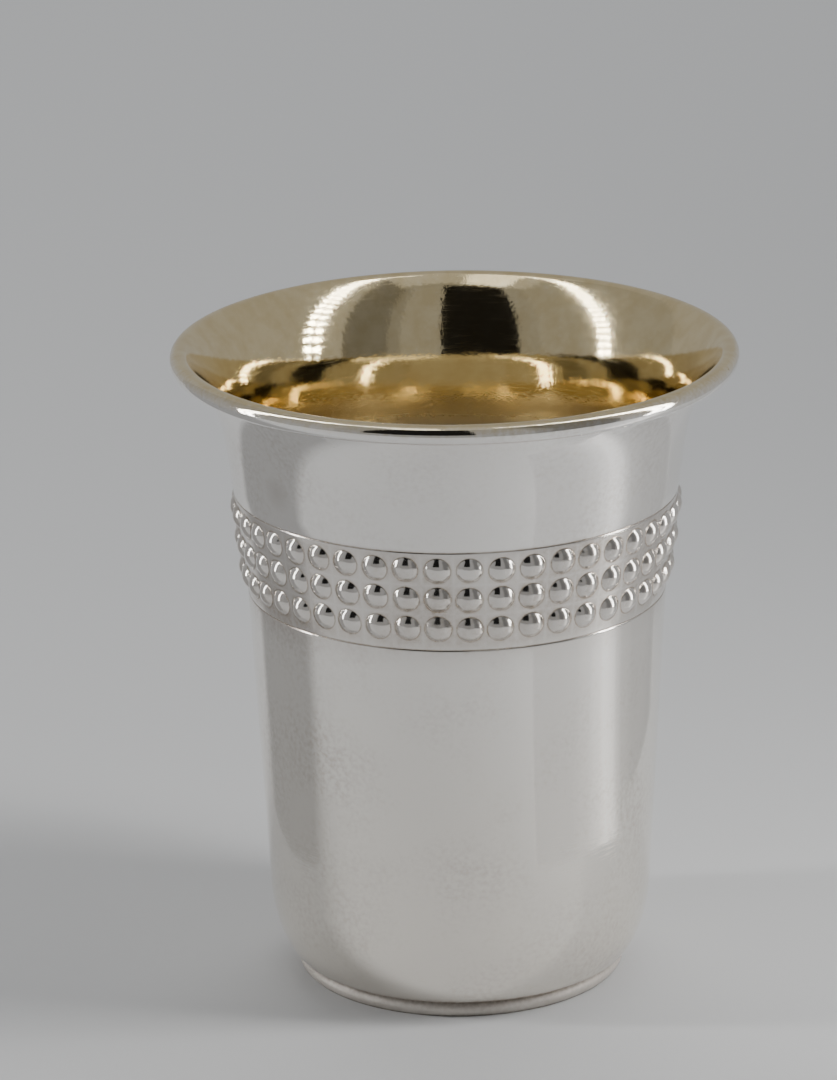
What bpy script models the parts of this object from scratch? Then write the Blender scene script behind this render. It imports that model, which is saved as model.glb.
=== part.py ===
"""A small silver kiddush cup with a gilded inside.

The vessel is one sheet of silver: a flat base, a rounded base corner, a gently tapering body, a band with
rows of pressed beads between two chased lines, and a flare that ends in a rolled lip. A separate half-round
ring is soldered under the base as a foot. Sizes are in metres, +Z is up, and the origin is the middle of the
foot's underside. In a profile, a point is (radius, height above the table).
"""
import math

import bmesh
import bpy

# The sheet
WALL = 0.0007
FLOOR = 0.0009

# Heights, one on top of the other from the table up
BODY_HEIGHT = 0.0465
BAND_HEIGHT = 0.0119
FLARE_HEIGHT = 0.0166

# Outer radius at the top of the base corner, and how far each stretch above spreads beyond the one below
BODY_RADIUS = 0.02225
BODY_SPREAD = 0.00187
BAND_SPREAD = 0.00145
FLARE_SPREAD = 0.00688

# Base corner: its run in to the flat base, its rise, and how far the curve turns from the wall
CORNER_WIDTH = 0.0027
CORNER_HEIGHT = 0.0096
CORNER_SWEEP = math.radians(63.5)

# Rolled lip: the hollow left at the middle of the roll, and the flare's lean from vertical where it meets it
LIP_EYE_RADIUS = 0.00045
LIP_LEAN = math.radians(45)

# Chased lines that bound the band
LINE_WIDTH = 0.0005
LINE_DEPTH = 0.00015

# Pressed beads: their size, the metal between neighbours, and the plain margins beside the chased lines
BEAD_DIAMETER = 0.0029
BEAD_RISE = 0.0007
BEAD_GAP = 0.0006
MARGIN_ABOVE = 0.0007
MARGIN_BELOW = 0.00115
FIRST_BEAD_ANGLE = math.radians(-86.8)

# Foot ring: height, width at its widest, how far its side bulges, its inset from the base's edge, and the seam
FOOT_HEIGHT = 0.00185
FOOT_WIDTH = 0.0019
FOOT_BULGE = 0.00055
FOOT_INSET = 0.0005
SOLDER_SEAM = 0.0003

# Fineness of the facets
CORNER_STEPS = 4
FLARE_STEPS = 5
INSIDE_FLARE_STEPS = 4
LIP_STEPS = 3
BEAD_SIDES = 8
FOOT_SIDE_STEPS = 4
SHARP_ANGLE = math.radians(30)


def base_height():
    """Height of the cup's flat underside, just above the foot ring."""
    return FOOT_HEIGHT + SOLDER_SEAM


def base_radius():
    """Radius of the cup's flat underside."""
    return BODY_RADIUS - CORNER_WIDTH


def band_lean():
    """How far the band leans out from vertical, as a slope."""
    return BAND_SPREAD / BAND_HEIGHT


def band_radius(height):
    """Outer radius of the plain metal of the band, and just beyond its lines, at a height."""
    return BODY_RADIUS + BODY_SPREAD + band_lean() * (height - BODY_HEIGHT)


def body_lean():
    """How far the body leans out between the base corner and the lower line, as a slope."""
    return BODY_SPREAD / (BODY_HEIGHT - base_height() - CORNER_HEIGHT)


def moved_in(point, lean, distance):
    """Move a profile point into the sheet, square to an outer face that has this lean as a slope."""
    tilt = math.atan(lean)
    return (point[0] - distance * math.cos(tilt), point[1] + distance * math.sin(tilt))


def corner_profile():
    """Outside of the base corner, from the flat base up to the wall: part of an ellipse."""
    half_width = CORNER_WIDTH / (1 - math.cos(CORNER_SWEEP))
    half_height = CORNER_HEIGHT / math.sin(CORNER_SWEEP)
    top = base_height() + CORNER_HEIGHT
    points = []
    for step in range(CORNER_STEPS + 1):
        turn = CORNER_SWEEP * (1 - step / CORNER_STEPS)
        radius = BODY_RADIUS - half_width * (1 - math.cos(turn))
        points.append((radius, top - half_height * math.sin(turn)))
    return points


def line_profile(height, slope_below):
    """A chased line: the edge below it, the bottom of its groove and the edge above it."""
    half = LINE_WIDTH / 2
    middle = band_radius(height)
    return [
        (middle - slope_below * half, height - half),
        (middle - LINE_DEPTH, height),
        (middle + band_lean() * half, height + half),
    ]


def lip_roll_radius():
    """The sheet is rolled once round its eye."""
    return LIP_EYE_RADIUS + WALL


def lip_centre():
    """Middle of the roll, seen in profile."""
    mouth_radius = BODY_RADIUS + BODY_SPREAD + BAND_SPREAD + FLARE_SPREAD
    mouth_height = BODY_HEIGHT + BAND_HEIGHT + FLARE_HEIGHT
    return (mouth_radius - lip_roll_radius(), mouth_height - lip_roll_radius())


def flare_start():
    """Where the outside of the flare begins, at the top edge of the band's upper line."""
    height = BODY_HEIGHT + BAND_HEIGHT + LINE_WIDTH / 2
    return (band_radius(height), height)


def flare_end():
    """Where the outside of the flare would end, deep in the roll: the inner face then runs onto the roll."""
    return moved_in(lip_centre(), math.tan(LIP_LEAN), LIP_EYE_RADIUS)


def flare_point(share):
    """Outside of the flare, and its slope there. The share runs from the upper line to the roll."""
    start, end = flare_start(), flare_end()
    rise = end[1] - start[1]
    curl = end[0] - start[0] - band_lean() * rise
    power = (math.tan(LIP_LEAN) - band_lean()) * rise / curl
    radius = start[0] + band_lean() * rise * share + curl * share ** power
    slope = band_lean() + power * curl / rise * share ** (power - 1)
    return (radius, start[1] + rise * share), slope


def lip_start_share():
    """Share of the flare at which its outside dips behind the roll."""
    hidden = math.sqrt(lip_roll_radius() ** 2 - LIP_EYE_RADIUS ** 2)
    return 1 - hidden * math.cos(LIP_LEAN) / (flare_end()[1] - flare_start()[1])


def spread_shares(steps, last):
    """Shares from 0 to the last one, closer together where the flare curves more."""
    return [last * (step / steps) ** 0.6 for step in range(steps + 1)]


def lip_profile():
    """The roll, from its underside round the outside and over the top to the inner face."""
    inner_turn = math.pi - LIP_LEAN
    under_turn = inner_turn + math.acos(LIP_EYE_RADIUS / lip_roll_radius()) - math.tau
    turns = [under_turn * (1 - step / LIP_STEPS) for step in range(1, LIP_STEPS + 1)]
    turns += [math.pi / 4, math.pi / 2, inner_turn]
    centre = lip_centre()
    points = []
    for turn in turns:
        radius = centre[0] + lip_roll_radius() * math.cos(turn)
        points.append((radius, centre[1] + lip_roll_radius() * math.sin(turn)))
    return points


def inside_flare_profile():
    """Inner face of the flare, from just below the roll down to the band's upper line."""
    points = []
    for share in reversed(spread_shares(INSIDE_FLARE_STEPS, 1)[:-1]):
        point, slope = flare_point(share)
        points.append(moved_in(point, slope, WALL))
    return points


def inside_body_profile():
    """Inner face of the body, from the band's lower line down and round to the flat floor."""
    lower_line = (band_radius(BODY_HEIGHT), BODY_HEIGHT)
    points = [moved_in(lower_line, (body_lean() + band_lean()) / 2, WALL)]
    corner_top = base_height() + CORNER_HEIGHT
    floor_radius = base_radius() - 2 * WALL
    floor_height = base_height() + FLOOR
    for step in range(CORNER_STEPS + 1):
        turn = math.pi / 2 * step / CORNER_STEPS
        radius = floor_radius + (BODY_RADIUS - WALL - floor_radius) * math.cos(turn)
        points.append((radius, corner_top - (corner_top - floor_height) * math.sin(turn)))
    return points


def bead_rows():
    """Heights of the middles of the bead rows, as many as fit between the margins."""
    clear = BAND_HEIGHT - MARGIN_ABOVE - MARGIN_BELOW
    count = max(1, int((clear + BEAD_GAP) / (BEAD_DIAMETER + BEAD_GAP)))
    pitch = (clear - BEAD_DIAMETER) / max(1, count - 1)
    lowest = BODY_HEIGHT + MARGIN_BELOW + BEAD_DIAMETER / 2
    return [lowest + pitch * row for row in range(count)]


def bead_count():
    """Beads in one row, from the girth at the lowest row."""
    return round(math.tau * band_radius(bead_rows()[0]) / (BEAD_DIAMETER + BEAD_GAP))


def add_ring(mesh, point, sides):
    """A ring of vertices at a profile point. Its first vertex lies halfway before the first bead."""
    start = FIRST_BEAD_ANGLE - math.pi / bead_count()
    ring = []
    for side in range(sides):
        angle = start + math.tau * side / sides
        ring.append(mesh.verts.new((point[0] * math.cos(angle), point[0] * math.sin(angle), point[1])))
    return ring


def skin(mesh, lower, upper, material=0):
    """Join two rings with faces. One ring may have twice as many vertices as the other."""
    coarse, fine = (lower, upper) if len(lower) <= len(upper) else (upper, lower)
    count = len(coarse)
    faces = []
    for side in range(count):
        after = (side + 1) % count
        if len(fine) == count:
            faces.append((coarse[side], coarse[after], fine[after], fine[side]))
            continue
        middle = fine[2 * side + 1]
        faces.append((coarse[side], coarse[after], middle))
        faces.append((coarse[side], middle, fine[2 * side]))
        faces.append((coarse[after], fine[2 * after % len(fine)], middle))
    for corners in faces:
        mesh.faces.new(corners).material_index = material


def add_bead(mesh, angle, height, cell):
    """A pressed bead: a low dome on the band, joined to the four corners of its cell."""
    half = BEAD_DIAMETER / 2
    dome_radius = (half ** 2 + BEAD_RISE ** 2) / (2 * BEAD_RISE)
    edge_turn = math.asin(half / dome_radius)
    if BEAD_RISE > half:
        edge_turn = math.pi - edge_turn
    rings = []
    for share in (1, 0.55):
        turn = edge_turn * share
        reach = dome_radius * math.sin(turn)
        rise = dome_radius * math.cos(turn) - (dome_radius - BEAD_RISE)
        ring = []
        for side in range(BEAD_SIDES):
            around = math.tau * side / BEAD_SIDES
            level = height + reach * math.sin(around)
            radius = band_radius(level) + rise
            bearing = angle + reach * math.cos(around) / band_radius(level)
            ring.append(mesh.verts.new((radius * math.cos(bearing), radius * math.sin(bearing), level)))
        rings.append(ring)
    top_radius = band_radius(height) + BEAD_RISE
    top = mesh.verts.new((top_radius * math.cos(angle), top_radius * math.sin(angle), height))
    rim, shoulder = rings
    for side in range(BEAD_SIDES):
        after = (side + 1) % BEAD_SIDES
        mesh.faces.new((rim[side], rim[after], shoulder[after], shoulder[side]))
        mesh.faces.new((shoulder[side], shoulder[after], top))
    quarter = BEAD_SIDES // 4
    for corner in range(4):
        first = corner * quarter
        for side in range(first, first + quarter):
            mesh.faces.new((cell[corner], rim[(side + 1) % BEAD_SIDES], rim[side]))
        mesh.faces.new((cell[corner], cell[(corner + 1) % 4], rim[(first + quarter) % BEAD_SIDES]))


def add_band(mesh, lowest_ring, highest_ring):
    """The beaded band, cell by cell, between the two chased lines."""
    count = len(lowest_ring)
    rows = bead_rows()
    rings = [lowest_ring]
    for row, above in zip(rows, rows[1:]):
        level = (row + above) / 2
        rings.append(add_ring(mesh, (band_radius(level), level), count))
    rings.append(highest_ring)
    for row, height in enumerate(rows):
        below, above = rings[row], rings[row + 1]
        for bead in range(count):
            after = (bead + 1) % count
            cell = (above[after], above[bead], below[bead], below[after])
            add_bead(mesh, FIRST_BEAD_ANGLE + math.tau * bead / count, height, cell)


def make_material(name, colour, roughness):
    """A plain polished metal."""
    material = bpy.data.materials.new(name)
    material.use_nodes = True
    shader = material.node_tree.nodes["Principled BSDF"]
    shader.inputs["Base Color"].default_value = (*colour, 1)
    shader.inputs["Metallic"].default_value = 1
    shader.inputs["Roughness"].default_value = roughness
    return material


def finish_object(name, mesh, materials):
    """Turn a built mesh into a named, smoothly shaded object."""
    bmesh.ops.recalc_face_normals(mesh, faces=mesh.faces)
    data = bpy.data.meshes.new(name)
    mesh.to_mesh(data)
    mesh.free()
    for material in materials:
        data.materials.append(material)
    data.shade_smooth()
    data.set_sharp_from_angle(angle=SHARP_ANGLE)
    thing = bpy.data.objects.new(name, data)
    bpy.context.scene.collection.objects.link(thing)
    return thing


def make_cup():
    """The hollow vessel, from its underside up the outside, over the lip and down the inside."""
    silver = make_material("polished_silver", (0.86, 0.85, 0.83), 0.16)
    gilt = make_material("gilding", (0.86, 0.70, 0.38), 0.14)
    mesh = bmesh.new()
    around = bead_count()

    def rings(points, sides):
        return [add_ring(mesh, point, sides) for point in points]

    lower_line = line_profile(BODY_HEIGHT, body_lean())
    upper_line = line_profile(BODY_HEIGHT + BAND_HEIGHT, band_lean())
    shell_below = rings(corner_profile() + lower_line, around)
    shell_above = rings(upper_line, around)
    flare = [flare_point(share)[0] for share in spread_shares(FLARE_STEPS, lip_start_share())[1:]]
    shell_above += rings(flare + lip_profile(), 2 * around)
    inside = [shell_above[-1]] + rings(inside_flare_profile()[:-1], 2 * around)
    inside += rings(inside_flare_profile()[-1:] + inside_body_profile(), around)

    for run, material in ((shell_below, 0), (shell_above, 0), (inside, 1)):
        for ring, following in zip(run, run[1:]):
            skin(mesh, ring, following, material)
    add_band(mesh, shell_below[-1], shell_above[0])
    mesh.faces.new(shell_below[0])
    mesh.faces.new(inside[-1]).material_index = 1
    return finish_object("cup", mesh, (silver, gilt))


def make_foot_ring():
    """The half-round ring under the base, with a flat underside that stands on the table."""
    silver = make_material("foot_silver", (0.80, 0.79, 0.77), 0.22)
    widest = base_radius() - FOOT_INSET
    profile = []
    for step in range(FOOT_SIDE_STEPS + 1):
        share = step / FOOT_SIDE_STEPS
        profile.append((widest - FOOT_BULGE * (2 * share - 1) ** 2, FOOT_HEIGHT * share))
    profile.append((widest - FOOT_WIDTH, FOOT_HEIGHT))
    profile.append((widest - FOOT_WIDTH, 0))
    mesh = bmesh.new()
    rings = [add_ring(mesh, point, bead_count()) for point in profile]
    for ring, following in zip(rings, rings[1:] + rings[:1]):
        skin(mesh, ring, following)
    return finish_object("foot_ring", mesh, (silver,))


for thing in list(bpy.data.objects):
    bpy.data.objects.remove(thing)
make_cup()
make_foot_ring()
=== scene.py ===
import math
import random

import bmesh
import bpy
from mathutils import Matrix, Vector


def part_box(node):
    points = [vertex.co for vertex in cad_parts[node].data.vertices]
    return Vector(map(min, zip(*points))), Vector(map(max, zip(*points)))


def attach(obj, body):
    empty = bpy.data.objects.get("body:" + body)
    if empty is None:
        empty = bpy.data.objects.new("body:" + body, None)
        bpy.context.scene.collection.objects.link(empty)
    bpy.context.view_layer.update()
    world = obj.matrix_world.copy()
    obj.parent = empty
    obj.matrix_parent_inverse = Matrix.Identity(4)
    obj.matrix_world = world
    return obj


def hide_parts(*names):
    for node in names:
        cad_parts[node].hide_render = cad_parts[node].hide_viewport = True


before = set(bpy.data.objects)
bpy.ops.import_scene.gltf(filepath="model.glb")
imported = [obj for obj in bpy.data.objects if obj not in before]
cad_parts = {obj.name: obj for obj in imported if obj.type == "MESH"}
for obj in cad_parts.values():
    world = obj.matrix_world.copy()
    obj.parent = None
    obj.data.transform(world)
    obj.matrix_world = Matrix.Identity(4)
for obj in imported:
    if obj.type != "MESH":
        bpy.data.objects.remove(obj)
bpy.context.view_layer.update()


# The cup
# One sheet of sterling silver, 0.7 mm thick, raised to a beaker with a flat base and a flared mouth. Its edge is
# rolled outward once round a narrow eye, three rows of beads are pressed out between two chased lines, and the
# inside is gilded up to the roll.

mm = 0.001
cup_low, cup_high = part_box("cup")
foot_low, foot_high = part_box("foot_ring")
base_height = cup_low.z
mouth_height = cup_high.z
mouth_radius = cup_high.x

sheet = 0.7 * mm
floor_sheet = 0.9 * mm
lower_line = 46.5 * mm
upper_line = 58.4 * mm
wall_foot_radius = 22.25 * mm
lower_line_radius = 24.12 * mm
upper_line_radius = 25.57 * mm

corner_run = 2.7 * mm
corner_rise = 9.6 * mm
corner_sweep = math.radians(63.5)

roll_eye = 0.45 * mm
mouth_lean = math.radians(45)
roll_radius = roll_eye + sheet
roll_lift = 0.1 * mm
roll_middle = (mouth_radius - roll_radius, mouth_height - roll_radius)

line_width = 0.3 * mm
line_depth = 0.06 * mm

bead_width = 3.08 * mm
bead_rise = 0.7 * mm
bead_fillet = 0.18 * mm
dimple_width = 2.4 * mm
dimple_depth = 0.3 * mm
beads_around = 44
first_bead = math.radians(-86.8)
bead_rows = [49.1 * mm, 52.675 * mm, 56.25 * mm]
steps_per_bead = 6

base_radius = wall_foot_radius - corner_run
wall_foot = base_height + corner_rise
wall_lean = (lower_line_radius - wall_foot_radius) / (lower_line - wall_foot)
band_lean = (upper_line_radius - lower_line_radius) / (upper_line - lower_line)


def band_radius(height):
    return lower_line_radius + band_lean * (height - lower_line)


def moved_in(point, lean, distance):
    tilt = math.atan(lean)
    return (point[0] - distance * math.cos(tilt), point[1] + distance * math.sin(tilt))


def base_corner(steps):
    half_width = corner_run / (1 - math.cos(corner_sweep))
    half_height = corner_rise / math.sin(corner_sweep)
    points = []
    for step in range(steps + 1):
        turn = corner_sweep * (1 - step / steps)
        radius = wall_foot_radius - half_width * (1 - math.cos(turn))
        points.append((radius, wall_foot - half_height * math.sin(turn)))
    return points


def chased_line(height, lean_below, lean_above, steps=8):
    """A shallow rounded groove, from its lower edge to its upper edge."""
    points = []
    for step in range(steps + 1):
        across = step / steps - 0.5
        lean = lean_below if across < 0 else lean_above
        depth = line_depth * (0.5 + 0.5 * math.cos(math.tau * across))
        radius = band_radius(height) + lean * across * line_width - depth
        points.append((radius, height + across * line_width))
    return points


flare_foot = upper_line + line_width / 2
flare_tip = moved_in(roll_middle, math.tan(mouth_lean), roll_eye)
flare_rise = flare_tip[1] - flare_foot
flare_curl = flare_tip[0] - band_radius(flare_foot) - band_lean * flare_rise
flare_power = (math.tan(mouth_lean) - band_lean) * flare_rise / flare_curl


def flare(share):
    """Outside of the flare at a share of its rise, and its lean there."""
    radius = band_radius(flare_foot) + band_lean * flare_rise * share + flare_curl * share ** flare_power
    lean = band_lean + flare_power * flare_curl / flare_rise * share ** (flare_power - 1)
    return (radius, flare_foot + flare_rise * share), lean


def outside_flare(steps):
    hidden = math.sqrt(roll_radius ** 2 - roll_eye ** 2)
    last = 1 - hidden * math.cos(mouth_lean) / flare_rise
    return [flare(last * (step / steps) ** 0.7)[0] for step in range(1, steps + 1)]


def rolled_edge(steps):
    """The roll, from where the flare runs under it, round the outside and over the top to the inner face. Its
    outer face is pressed a little upward, so that the lower half is the flatter one."""
    inner_turn = math.pi - mouth_lean
    under_turn = inner_turn + math.acos(roll_eye / roll_radius) - math.tau
    turns = [under_turn + (inner_turn - under_turn) * step / steps for step in range(1, steps)]
    turns = [turn for turn in turns if min(abs(turn), abs(turn - math.pi / 2)) > 0.04]
    turns = sorted(turns + [0, math.pi / 2, inner_turn])
    points = []
    for turn in turns:
        radius = roll_middle[0] + roll_radius * math.cos(turn)
        height = roll_middle[1] + roll_radius * math.sin(turn) + roll_lift * max(0, math.cos(turn)) ** 2
        points.append((radius, height))
    return points


def inside_flare(steps):
    points = []
    for step in range(steps - 1, -1, -1):
        point, lean = flare((step / steps) ** 0.7)
        points.append(moved_in(point, lean, sheet))
    return points


def inside_band(steps):
    points = []
    for step in range(1, steps):
        height = flare_foot + (lower_line - flare_foot) * step / steps
        points.append(moved_in((band_radius(height), height), band_lean, sheet))
    return points


def inside_body(wall_steps, corner_steps):
    top = moved_in((band_radius(lower_line), lower_line), (wall_lean + band_lean) / 2, sheet)
    foot = (wall_foot_radius - sheet, wall_foot)
    points = []
    for step in range(wall_steps):
        share = step / wall_steps
        points.append((top[0] + (foot[0] - top[0]) * share, top[1] + (foot[1] - top[1]) * share))
    floor_radius = base_radius - 2 * sheet
    floor_height = base_height + floor_sheet
    for step in range(corner_steps + 1):
        turn = math.pi / 2 * step / corner_steps
        radius = floor_radius + (foot[0] - floor_radius) * math.cos(turn)
        points.append((radius, foot[1] - (foot[1] - floor_height) * math.sin(turn)))
    return points


def dimple(angle, height):
    """How far the inside is pushed out behind the nearest bead."""
    column = (angle - first_bead) / math.tau * beads_around
    along = (column - round(column)) / beads_around * math.tau * band_radius(height)
    reach = min(math.hypot(along, height - row) for row in bead_rows)
    return dimple_depth * math.cos(math.pi / 2 * min(1, 2 * reach / dimple_width)) ** 2


def add_ring(mesh, point, sides, dimpled=False):
    """A ring of vertices. The first lies halfway before the first column of beads."""
    start = first_bead - math.pi / beads_around
    ring = []
    for side in range(sides):
        angle = start + math.tau * side / sides
        radius = point[0]
        if dimpled:
            radius += dimple(angle, point[1])
        ring.append(mesh.verts.new((radius * math.cos(angle), radius * math.sin(angle), point[1])))
    return ring


def mark(ring, layer, share):
    for vertex in ring:
        vertex[layer] = share


def skin(mesh, lower, upper):
    sides = len(lower)
    for side in range(sides):
        after = (side + 1) % sides
        mesh.faces.new((lower[side], lower[after], upper[after], upper[side]))


def close_disc(mesh, ring, radius, height, steps, layer, share):
    """Fill a ring with smaller and smaller rings of the same count, and a point in the middle."""
    for step in range(1, steps):
        inner = add_ring(mesh, (radius * (1 - step / steps), height), len(ring))
        mark(inner, layer, share)
        skin(mesh, ring, inner)
        ring = inner
    middle = mesh.verts.new((0, 0, height))
    middle[layer] = share
    for side in range(len(ring)):
        mesh.faces.new((ring[side], ring[(side + 1) % len(ring)], middle))


def bead_profile(width, bead_rise, dome_steps, fillet_steps):
    """Reach from the bead's axis and rise above the band, from the foot of the fillet up to the dome's top."""
    half = width / 2
    turn = 2 * math.atan(bead_rise / half)
    dome = half / math.sin(turn) - bead_fillet
    points = []
    for step in range(fillet_steps):
        lean = turn * step / fillet_steps
        points.append((half - bead_fillet * math.sin(lean), bead_fillet * (1 - math.cos(lean))))
    for step in range(dome_steps):
        lean = turn * (1 - step / dome_steps)
        points.append((dome * math.sin(lean), bead_rise - dome * (1 - math.cos(lean))))
    return points


def add_bead(mesh, bearing, height, rim):
    """A pressed bead: rings from its cell's rim in to the fillet's foot, over the dome and up to its top. No two
    come out quite the same, and their feet are darkened: partly tarnish, partly painted shade."""
    width = bead_width * (1 + uneven.uniform(-0.02, 0.02))
    rise_here = bead_rise * (1 + uneven.uniform(-0.08, 0))
    bearing += uneven.uniform(-1, 1) * bead_shift / lower_line_radius
    height += uneven.uniform(-1, 1) * bead_shift
    sides = len(rim)
    spokes = []
    for vertex in rim:
        around = math.atan2(vertex.co.y, vertex.co.x) - bearing
        around = (around + math.pi) % math.tau - math.pi
        across = around * band_radius(height)
        spokes.append(math.atan2(vertex.co.z - height, across))
    outer = rim
    profile = [(width / 2 + 0.08 * mm, 0)] + bead_profile(width, rise_here, 7, 3)
    tarnish_and_shade = [0.25, 1, 0.9, 0.4]
    for step, (reach, rise) in enumerate(profile):
        ring = []
        for spoke in spokes:
            level = height + reach * math.sin(spoke)
            radius = band_radius(level) + rise
            angle = bearing + reach * math.cos(spoke) / band_radius(level)
            ring.append(mesh.verts.new((radius * math.cos(angle), radius * math.sin(angle), level)))
        for side in range(sides):
            after = (side + 1) % sides
            mesh.faces.new((outer[side], outer[after], ring[after], ring[side]))
        mark(ring, tarnish_and_shade_layer, tarnish_and_shade[step] if step < len(tarnish_and_shade) else 0)
        outer = ring
    radius = band_radius(height) + rise_here
    top = mesh.verts.new((radius * math.cos(bearing), radius * math.sin(bearing), height))
    for side in range(sides):
        mesh.faces.new((outer[side], outer[(side + 1) % sides], top))


def add_band(mesh, lowest, highest):
    """The beaded band: a grid of cells with shared edges, one bead in each."""
    sides = len(lowest)
    shelves = [lowest]
    for row, above in zip(bead_rows, bead_rows[1:]):
        level = (row + above) / 2
        shelves.append(add_ring(mesh, (band_radius(level), level), sides))
    shelves.append(highest)
    uprights = []
    for lower, upper in zip(shelves, shelves[1:]):
        columns = []
        for column in range(beads_around):
            foot = lower[column * steps_per_bead]
            head = upper[column * steps_per_bead]
            angle = math.atan2(foot.co.y, foot.co.x)
            upright = [foot]
            for step in range(1, steps_per_bead):
                level = foot.co.z + (head.co.z - foot.co.z) * step / steps_per_bead
                radius = band_radius(level)
                upright.append(mesh.verts.new((radius * math.cos(angle), radius * math.sin(angle), level)))
            columns.append(upright + [head])
        uprights.append(columns)
    for row, height in enumerate(bead_rows):
        for column in range(beads_around):
            start = column * steps_per_bead
            span = [(start + step) % sides for step in range(steps_per_bead + 1)]
            left = uprights[row][column]
            right = uprights[row][(column + 1) % beads_around]
            rim = [shelves[row][side] for side in span[:-1]]
            rim += right[:-1]
            rim += [shelves[row + 1][side] for side in reversed(span[1:])]
            rim += list(reversed(left[1:]))
            add_bead(mesh, first_bead + math.tau * column / beads_around, height, rim)


def mesh_object(name, mesh, material):
    bmesh.ops.recalc_face_normals(mesh, faces=mesh.faces)
    data = bpy.data.meshes.new(name)
    mesh.to_mesh(data)
    mesh.free()
    data.materials.append(material)
    data.shade_smooth()
    data.set_sharp_from_angle(angle=math.radians(40))
    thing = bpy.data.objects.new(name, data)
    bpy.context.scene.collection.objects.link(thing)
    return thing


def add_node(tree, kind, inputs, **options):
    """Add a shader node. Each of its inputs is given as another node's output or as a plain value."""
    node = tree.nodes.new(kind)
    for option, value in options.items():
        setattr(node, option, value)
    for socket, value in inputs.items():
        if isinstance(value, bpy.types.NodeSocket):
            tree.links.new(value, node.inputs[socket])
        else:
            node.inputs[socket].default_value = value
    return node


def noise(tree, place, scale, detail):
    inputs = {"Vector": place, "Scale": scale, "Detail": detail}
    return add_node(tree, "ShaderNodeTexNoise", inputs).outputs["Fac"]


def ramp(tree, value, low, high, bottom=0, top=1):
    inputs = {"Value": value, "From Min": low, "From Max": high, "To Min": bottom, "To Max": top}
    return add_node(tree, "ShaderNodeMapRange", inputs).outputs["Result"]


def sum_of(tree, first, second):
    return add_node(tree, "ShaderNodeMath", {0: first, 1: second}, operation="ADD").outputs[0]


def product(tree, first, second):
    return add_node(tree, "ShaderNodeMath", {0: first, 1: second}, operation="MULTIPLY").outputs[0]


def mixed(tree, share, first, second):
    inputs = {0: share, 6: first, 7: second}
    return add_node(tree, "ShaderNodeMix", inputs, data_type="RGBA").outputs[2]


def streaks(tree, place, turned, width, length):
    """Fine straight scratches: noise drawn out along one direction, and only its peaks."""
    inputs = {"Vector": place, "Rotation": turned, "Scale": (1 / length, 1 / length, 1 / width)}
    drawn_out = add_node(tree, "ShaderNodeMapping", inputs).outputs["Vector"]
    return ramp(tree, noise(tree, drawn_out, 1, 1), 0.62, 0.74)


def near(tree, place, spot, reach):
    distance = add_node(tree, "ShaderNodeVectorMath", {0: place, 1: spot}, operation="DISTANCE").outputs["Value"]
    return ramp(tree, distance, reach, 0)


def marked(tree, layer):
    return add_node(tree, "ShaderNodeAttribute", {}, attribute_name=layer).outputs["Fac"]


silver_colour = (0.925, 0.905, 0.875, 1)
yellowed_colour = (0.945, 0.9, 0.825, 1)
tarnish_colour = (0.42, 0.35, 0.28, 1)
gold_colour = (0.82, 0.7, 0.44, 1)
deep_gold_colour = (0.75, 0.62, 0.36, 1)
satin_gold_with_painted_shade_colour = (0.58, 0.49, 0.33, 1)
stained_spots = [((-14.8 * mm, -17.9 * mm, 32 * mm), 7 * mm), ((20 * mm, -11.8 * mm, 24 * mm), 8 * mm),
                 ((16 * mm, 16 * mm, 38 * mm), 6 * mm)]
scuffed_spot = (-20.3 * mm, -17 * mm, 62.6 * mm)
lip_pit = (30.7 * mm, -9.7 * mm, 74.6 * mm)

cup_metal = bpy.data.materials.new("silver_gilded_inside")
cup_metal.use_nodes = True
tree = cup_metal.node_tree
shader = tree.nodes["Principled BSDF"]
place = add_node(tree, "ShaderNodeTexCoord", {}).outputs["Object"]
grain = noise(tree, place, 1700, 3)
clouds = noise(tree, place, 85, 4)
broken = ramp(tree, grain, 0.38, 0.66)

worn_edge = ramp(tree, grain, 0.3, 0.7, -0.12, 0.12)
gilded = ramp(tree, sum_of(tree, marked(tree, "gilded"), worn_edge), 0.06, 0.94)
level = add_node(tree, "ShaderNodeSeparateXYZ", {0: place}).outputs["Z"]
# Below the band the gilding is satin, rougher and darker: the roughness is the finish, the darker colour is painted
# shade of the deep inside.
satin_and_shade = product(tree, gilded, ramp(tree, level, upper_line + 2 * mm, upper_line - 1 * mm))

stain_and_shade = ramp(tree, clouds, 0.42, 0.76, 0, 0.3)
for spot, reach in stained_spots:
    stain_and_shade = sum_of(tree, stain_and_shade, product(tree, near(tree, place, spot, reach), 0.22))
on_band = product(tree, ramp(tree, level, lower_line - 3 * mm, lower_line + 1 * mm),
                  ramp(tree, level, upper_line + 0.4 * mm, upper_line - 0.2 * mm))
stain_and_shade = sum_of(tree, product(tree, stain_and_shade, broken), product(tree, on_band, ramp(tree, clouds, 0.3, 0.7, 0.16, 0.4)))
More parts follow.
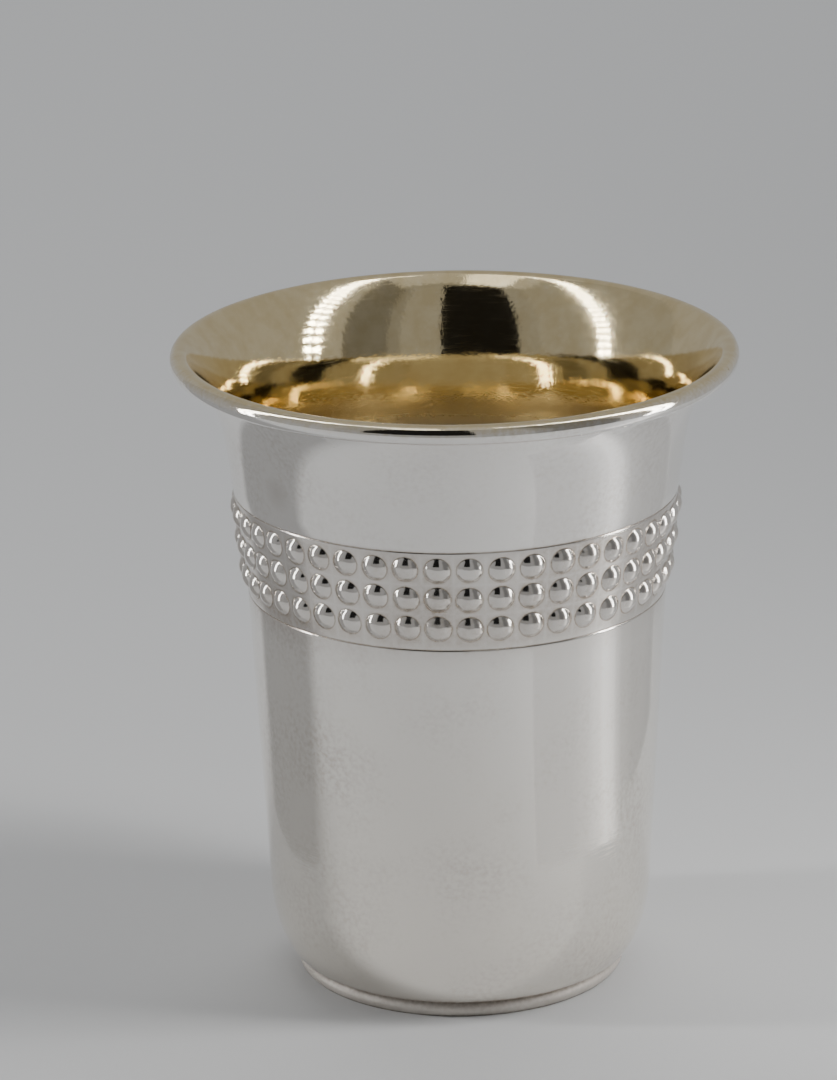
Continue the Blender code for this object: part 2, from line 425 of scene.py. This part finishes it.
# The marked feet of the beads, bottoms of the chased lines and the base edge are darkened: partly tarnish, partly
# painted shade.
tarnish_and_shade = product(tree, marked(tree, "tarnish_and_painted_shade"), ramp(tree, grain, 0.3, 0.7, 0.45, 0.85))
rubbed = product(tree, near(tree, place, scuffed_spot, 2.4 * mm), ramp(tree, clouds, 0.3, 0.6, 0.2, 0.5))
stain_and_shade = sum_of(tree, sum_of(tree, stain_and_shade, tarnish_and_shade), rubbed)
stain_and_shade = sum_of(tree, stain_and_shade, ramp(tree, near(tree, place, lip_pit, 0.5 * mm), 0.4, 0.7, 0, 0.9))
stain_and_shade = ramp(tree, stain_and_shade, 0, 1)
handled = mixed(tree, ramp(tree, level, upper_line, wall_foot), silver_colour, yellowed_colour)
silver_now = mixed(tree, stain_and_shade, handled, tarnish_colour)
gold_now = mixed(tree, ramp(tree, noise(tree, place, 420, 5), 0.36, 0.64), gold_colour, deep_gold_colour)
gold_now = mixed(tree, satin_and_shade, gold_now, satin_gold_with_painted_shade_colour)
tree.links.new(mixed(tree, gilded, silver_now, gold_now), shader.inputs["Base Color"])
shader.inputs["Metallic"].default_value = 1

scratches = streaks(tree, place, (0, 0, 0), 0.09 * mm, 5 * mm)
for turned in ((0, 0.7, 0), (0.9, 0, 0), (0, -1.1, 0.6)):
    scratches = sum_of(tree, scratches, streaks(tree, place, turned, 0.08 * mm, 4 * mm))
haze = ramp(tree, clouds, 0.4, 0.7, 0.045, 0.085)
roughness = sum_of(tree, haze, product(tree, scratches, 0.06))
roughness = sum_of(tree, roughness, product(tree, stain_and_shade, 0.2))
roughness = sum_of(tree, roughness, product(tree, satin_and_shade, ramp(tree, grain, 0.3, 0.7, 0.38, 0.5)))
tree.links.new(roughness, shader.inputs["Roughness"])

ripple = product(tree, grain, ramp(tree, gilded, 0, 1, 0.4, 2))
height = sum_of(tree, ripple, product(tree, scratches, ramp(tree, gilded, 0, 1, -0.2, -0.05)))
bump = add_node(tree, "ShaderNodeBump", {"Height": height, "Distance": 0.004 * mm, "Strength": 1})
tree.links.new(bump.outputs["Normal"], shader.inputs["Normal"])

uneven = random.Random(44)
bead_shift = 0.06 * mm
body = bmesh.new()
gilt = body.verts.layers.float.new("gilded")
tarnish_and_shade_layer = body.verts.layers.float.new("tarnish_and_painted_shade")
around = beads_around * steps_per_bead


def rings(points, dimpled=False):
    return [add_ring(body, point, around, dimpled) for point in points]


def line_rings(height, lean_below, lean_above):
    """The rings of a chased line. Its bottom is darkened: partly tarnish, partly painted shade."""
    points = chased_line(height, lean_below, lean_above)
    line = rings(points)
    for step, ring in enumerate(line):
        mark(ring, tarnish_and_shade_layer, 0.5 - 0.5 * math.cos(math.tau * step / (len(points) - 1)))
    return line


corner = rings(base_corner(18))
# The base edge, over the seam with the foot ring, is darkened: partly tarnish, partly painted shade.
mark(corner[0], tarnish_and_shade_layer, 0.9)
mark(corner[1], tarnish_and_shade_layer, 0.2)
wall = []
for share in [0.03] + [step / 24 for step in range(2, 23)] + [0.96, 0.99]:
    foot_point = (wall_foot_radius, wall_foot)
    head_point = chased_line(lower_line, wall_lean, band_lean)[0]
    wall.append((foot_point[0] + (head_point[0] - foot_point[0]) * share,
                 foot_point[1] + (head_point[1] - foot_point[1]) * share))
shell_below = corner + rings(wall) + line_rings(lower_line, wall_lean, band_lean)

# The gilding thins out over the roll: none on its under side, all of it by the top.
roll_points = rolled_edge(34)
roll = rings(roll_points)
for point, ring in zip(roll_points, roll):
    turn = math.atan2(point[1] - roll_middle[1], point[0] - roll_middle[0])
    mark(ring, gilt, min(1, max(0, math.degrees(turn) + 12) / 85) if turn > -1 else 0)
shell_above = line_rings(upper_line, band_lean, band_lean) + rings(outside_flare(26)) + roll

inside = rings(inside_flare(26)) + rings(inside_band(28), True) + rings(inside_body(6, 18))
for ring in inside:
    mark(ring, gilt, 1)
for run in (shell_below, shell_above, [shell_above[-1]] + inside):
    for ring, following in zip(run, run[1:]):
        skin(body, ring, following)
add_band(body, shell_below[-1], shell_above[0])
close_disc(body, shell_below[0], base_radius, base_height, 5, gilt, 0)
close_disc(body, inside[-1], base_radius - 2 * sheet, base_height + floor_sheet, 6, gilt, 1)
cup = mesh_object("silver_cup", body, cup_metal)
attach(cup, "root")
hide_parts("cup")


# The foot ring
# A half-round silver wire bent to a ring, planished flat underneath and soldered under the base. It carries the
# cup, and its underside is rubbed by the table.

ring_height = foot_high.z
ring_widest = base_radius - 0.5 * mm
ring_width = 1.9 * mm
ring_bulge = 0.55 * mm
solder_waist = 0.15 * mm
ring_profile = []
for step in range(17):
    share = step / 16
    # The ring is darkened at its foot on the table, at the solder under the base and on its inner face: partly
    # tarnish, partly painted shade.
    tarnish_and_shade = max(share ** 6, 1 - 6 * share)
    ring_profile.append((ring_widest - ring_bulge * (2 * share - 1) ** 2, ring_height * share, tarnish_and_shade))
solder_top = base_height - 0.02 * mm
for step in range(1, 6):
    share = step / 5
    radius = ring_widest - ring_bulge - solder_waist * math.sin(math.pi * share)
    ring_profile.append((radius, ring_height + (solder_top - ring_height) * share, 1))
ring_profile.append((ring_widest - ring_width, solder_top, 1))
ring_profile.append((ring_widest - ring_width, ring_height, 0.7))
ring_profile.append((ring_widest - ring_width, 0, 0.4))

worn_silver = bpy.data.materials.new("worn_silver")
worn_silver.use_nodes = True
tree = worn_silver.node_tree
shader = tree.nodes["Principled BSDF"]
place = add_node(tree, "ShaderNodeTexCoord", {}).outputs["Object"]
grain = noise(tree, place, 1900, 3)
clouds = noise(tree, place, 120, 3)
# The marked foot, top and inner face of the ring are darkened: partly tarnish, partly painted shade.
stain_and_shade = product(tree, marked(tree, "tarnish_and_painted_shade"), ramp(tree, grain, 0.3, 0.7, 0.6, 1))
stain_and_shade = ramp(tree, sum_of(tree, stain_and_shade, ramp(tree, clouds, 0.4, 0.7, 0.16, 0.4)), 0, 1)
tree.links.new(mixed(tree, stain_and_shade, (0.82, 0.785, 0.74, 1), (0.28, 0.235, 0.19, 1)), shader.inputs["Base Color"])
shader.inputs["Metallic"].default_value = 1
scratches = sum_of(tree, streaks(tree, place, (0, 0, 0), 0.08 * mm, 4 * mm),
                   streaks(tree, place, (0, 0.9, 0.4), 0.08 * mm, 2 * mm))
roughness = sum_of(tree, ramp(tree, grain, 0.3, 0.7, 0.6, 0.76), product(tree, scratches, 0.1))
tree.links.new(roughness, shader.inputs["Roughness"])
height = sum_of(tree, grain, product(tree, scratches, -0.6))
bump = add_node(tree, "ShaderNodeBump", {"Height": height, "Distance": 0.002 * mm, "Strength": 1})
tree.links.new(bump.outputs["Normal"], shader.inputs["Normal"])

ring_mesh = bmesh.new()
ring_tarnish_and_shade_layer = ring_mesh.verts.layers.float.new("tarnish_and_painted_shade")
ring_rings = []
for radius, height, share in ring_profile:
    ring_rings.append(add_ring(ring_mesh, (radius, height), around))
    mark(ring_rings[-1], ring_tarnish_and_shade_layer, share)
for ring, following in zip(ring_rings, ring_rings[1:] + ring_rings[:1]):
    skin(ring_mesh, ring, following)
foot = mesh_object("soldered_foot_ring", ring_mesh, worn_silver)
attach(foot, "root")
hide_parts("foot_ring")


# The table and the light
# The cup stands on a plain pale table. Two soft lights stand beside it, the stronger one on the right, and grey
# cards and rows of small lamps stand round it for the polished silver to mirror.

box_left, box_right = -0.23, 0.16
box_front, box_back = -0.22, 0.2
box_top = 0.6


def lit(name, tone):
    """A material that only glows, in one tone of grey."""
    material = bpy.data.materials.new(name)
    material.use_nodes = True
    shader = material.node_tree.nodes["Principled BSDF"]
    shader.inputs["Base Color"].default_value = (0, 0, 0, 1)
    shader.inputs["Specular IOR Level"].default_value = 0
    shader.inputs["Emission Color"].default_value = (tone, tone, tone, 1)
    shader.inputs["Emission Strength"].default_value = 1
    return material


def staged(name, corners, faces, material):
    data = bpy.data.meshes.new(name)
    data.from_pydata(corners, [], faces)
    data.materials.append(material)
    thing = bpy.data.objects.new(name, data)
    bpy.context.scene.collection.objects.link(thing)
    return thing


def mirrored_only(thing):
    thing.visible_camera = False
    thing.visible_diffuse = False
    thing.visible_shadow = False


def card(name, low, high, tone):
    """An upright or level grey card that only shows as a reflection. One of its sizes is zero."""
    if low[0] == high[0]:
        second, fourth = (low[0], high[1], low[2]), (low[0], low[1], high[2])
    else:
        second, fourth = (high[0], low[1], low[2]), (low[0], high[1], high[2])
    mirrored_only(staged(name, [low, second, high, fourth], [(0, 1, 2, 3)], lit(name, tone)))


def painted_floor_card(name, rows):
    """A level card just above the table, whose tones paint the table's shadows and lit patches for the silver to
    mirror. Each row has the places of its two ends, and its tone.
    """
    corners = []
    for first, second, tone in rows:
        corners += [(first[0], first[1], 0.0005), (second[0], second[1], 0.0005)]
    faces = [(2 * row, 2 * row + 1, 2 * row + 3, 2 * row + 2) for row in range(len(rows) - 1)]
    material = lit(name, 1)
    tree = material.node_tree
    tree.links.new(marked(tree, "tone"), tree.nodes["Principled BSDF"].inputs["Emission Strength"])
    flat = staged(name, corners, faces, material)
    tones = flat.data.attributes.new("tone", "FLOAT", "POINT")
    for corner in range(len(corners)):
        tones.data[corner].value = rows[corner // 2][2]
    mirrored_only(flat)


# A level card whose tones paint the cup's shadow on the table, for the silver to mirror.
def painted_shadow_card(name, left, right, rows):
    painted_floor_card(name, [((left, left_place), (right, right_place), tone) for left_place, right_place, tone in rows])


def painted_light_fan_card(name, nearest, furthest, rows):
    """A level card spread like a fan round the cup, which paints the lit table beside it for the silver to mirror.
    Each row has its bearing from the front, and its tone.
    """
    spread = []
    for bearing, tone in rows:
        across, forward = math.sin(math.radians(bearing)), -math.cos(math.radians(bearing))
        spread.append(((nearest * across, nearest * forward), (furthest * across, furthest * forward), tone))
    painted_floor_card(name, spread)


def lamp_row(name, start, along, count, glow):
    """Two rows of small round lamps side by side, which only show as a reflection."""
    lamp_radius, pitch, row_place = 0.0073, 0.023, 0.0082
    corners = []
    faces = []
    for lamp in range(count):
        for row in (-row_place, row_place):
            middle = Vector(start) + Vector(along) * pitch * (lamp + 0.5) + Vector((0, row, 0))
            for corner in range(10):
                angle = math.tau * corner / 10
                corners.append(middle + Vector(along) * lamp_radius * math.sin(angle)
                               + Vector((0, lamp_radius * math.cos(angle), 0)))
            faces.append(tuple(range(len(corners) - 10, len(corners))))
    mirrored_only(staged(name, corners, faces, lit(name, glow)))


def soft_light(name, place, towards, width, height, energy, colour=(1, 1, 1)):
    """A rectangular light that lights the table and doesn't show as a reflection."""
    data = bpy.data.lights.new(name, "AREA")
    data.shape = "RECTANGLE"
    data.size = width
    data.size_y = height
    data.energy = energy
    data.color = colour
    lamp = bpy.data.objects.new(name, data)
    bpy.context.scene.collection.objects.link(lamp)
    lamp.location = place
    lamp.rotation_euler = Vector(towards).to_track_quat("-Z", "Y").to_euler()
    lamp.visible_camera = False
    lamp.visible_glossy = False


table_paint = bpy.data.materials.new("pale_table")
table_paint.use_nodes = True
table_paint.node_tree.nodes["Principled BSDF"].inputs["Base Color"].default_value = (0.45, 0.45, 0.449, 1)
table_paint.node_tree.nodes["Principled BSDF"].inputs["Roughness"].default_value = 0.9
table_paint.node_tree.nodes["Principled BSDF"].inputs["Specular IOR Level"].default_value = 0
staged("table", [(-0.9, -0.9, 0), (0.9, -0.9, 0), (0.9, 1.2, 0), (-0.9, 1.2, 0)], [(0, 1, 2, 3)], table_paint)

open_left, open_right = -0.153, 0.027
open_foot = 0.09
corner_shade = 0.123
top_edge = -0.19
# The cards glow: their tones paint the light and shade on the walls of a light box, darker in its corners.
card("front_left", (box_left, box_front, 0), (open_left, box_front, box_top), 0.3)
card("under_opening", (open_left, box_front, 0), (open_right, box_front, open_foot), 0.3)
card("opening", (open_left, box_front, open_foot), (open_right, box_front, box_top), 0.012)
card("front_right", (open_right, box_front, 0), (corner_shade, box_front, box_top), 0.33)
card("front_corner_painted_shade", (corner_shade, box_front, 0), (box_right, box_front, box_top), 0.25)
card("right_corner_painted_shade", (box_right, box_front, 0), (box_right, -0.084, box_top), 0.17)
card("right_side", (box_right, -0.084, 0), (box_right, box_back, box_top), 0.4)
card("left_side", (box_left, box_front, 0), (box_left, box_back, box_top), 0.34)
card("top_front", (box_left, box_front, box_top), (box_right, top_edge, box_top), 0.3)
card("top_back", (box_left, top_edge, box_top), (box_right, 0.7, box_top), 0.5)
card("back", (-0.7, box_back, 0.03), (0.7, box_back, box_top), 0.4)
card("top_lamp", (-0.155, top_edge, box_top - 0.03), (-0.03, 0.03, box_top - 0.03), 1.6)
# These cards paint the cup's shadows from the right and the left light, and the lit table on the right, as the silver
# mirrors them.
painted_shadow_card("left_floor_painted_shadow", -0.225, -0.052,
           [(-0.022, -0.022, 0.52), (-0.01, -0.01, 0.31), (0.2, 0.03, 0.31), (0.22, 0.04, 0.5)])
painted_shadow_card("right_floor_painted_shadow", 0.07, 0.155,
           [(0.0061, 0.0136, 0.62), (0.02, 0.04, 0.53), (0.05, 0.12, 0.47), (0.06, 0.14, 0.58)])
painted_light_fan_card("floor_painted_light", 0.058, 0.19, [(38, 0.64), (56, 0.68), (66, 0.78), (74, 0.98), (81, 1.25), (86, 1.15), (91, 0.8),
                                    (95, 0.62)])

lamp_glow = 24
lamps_top = box_top - 0.03
lamp_row("right_lamps", (box_right - 0.002, -0.024, 0.01), (0, 0, 1), 24, lamp_glow)
lamp_row("left_lamps", (box_left + 0.002, -0.02, 0.01), (0, 0, 1), 24, lamp_glow)
lamp_row("right_top_lamps", (box_right, -0.022, lamps_top), (-1, 0, 0), 4, 8)
lamp_row("left_top_lamps", (box_left, -0.022, lamps_top), (1, 0, 0), 4, 8)

soft_light("right_light", (0.203, -0.045, 0.26), (-1, 0, 0), 0.062, 0.5, 1.6)
soft_light("left_light", (-0.56, -0.022, 0.18), (1, 0, 0), 0.043, 0.34, 3.1)
soft_light("back_light", (0, 0.633, 0.71), (0, -0.25, -1), 0.9, 0.5, 4.5, (0.96, 0.98, 1))

world = bpy.data.worlds.new("pale_room")
world.use_nodes = True
world.node_tree.nodes["Background"].inputs["Color"].default_value = (0.248, 0.251, 0.259, 1)
world.node_tree.nodes["Background"].inputs["Strength"].default_value = 1
bpy.context.scene.world = world


# The camera
# It stands 650 mm from the middle of the cup and looks down on it by about 19 degrees, through a long lens.

frame_width, frame_height = 837, 1080
camera_distance = 0.65
camera_height_angle = math.radians(19.46)
camera_roll = math.radians(-0.68)
pixels_per_metre = 8622
aim = Vector((0, 0, 0.0375))
aim_pixel = (457.9, 654.9)

back = Vector((0, -math.cos(camera_height_angle), math.sin(camera_height_angle)))
level_right = Vector((1, 0, 0))
level_up = back.cross(level_right)
tipped_right = level_right * math.cos(camera_roll) + level_up * math.sin(camera_roll)
tipped_up = level_up * math.cos(camera_roll) - level_right * math.sin(camera_roll)
focal_pixels = pixels_per_metre * camera_distance
off_axis = Vector(((aim_pixel[0] - frame_width / 2) / focal_pixels,
                   -(aim_pixel[1] - frame_height / 2) / focal_pixels, 1)).normalized()
swing = Vector((0, 0, 1)).rotation_difference(off_axis).to_matrix()
looking = swing @ Matrix((tipped_right, tipped_up, -back))
turned = Matrix((looking[0], looking[1], -looking[2])).transposed()

lens = bpy.data.cameras.new("camera")
lens.sensor_width = 36
lens.lens = focal_pixels * lens.sensor_width / frame_height
lens.clip_start = 0.01
lens.clip_end = 20
camera = bpy.data.objects.new("camera", lens)
bpy.context.scene.collection.objects.link(camera)
camera.matrix_world = Matrix.Translation(aim + back * camera_distance) @ turned.to_4x4()
bpy.context.scene.camera = camera
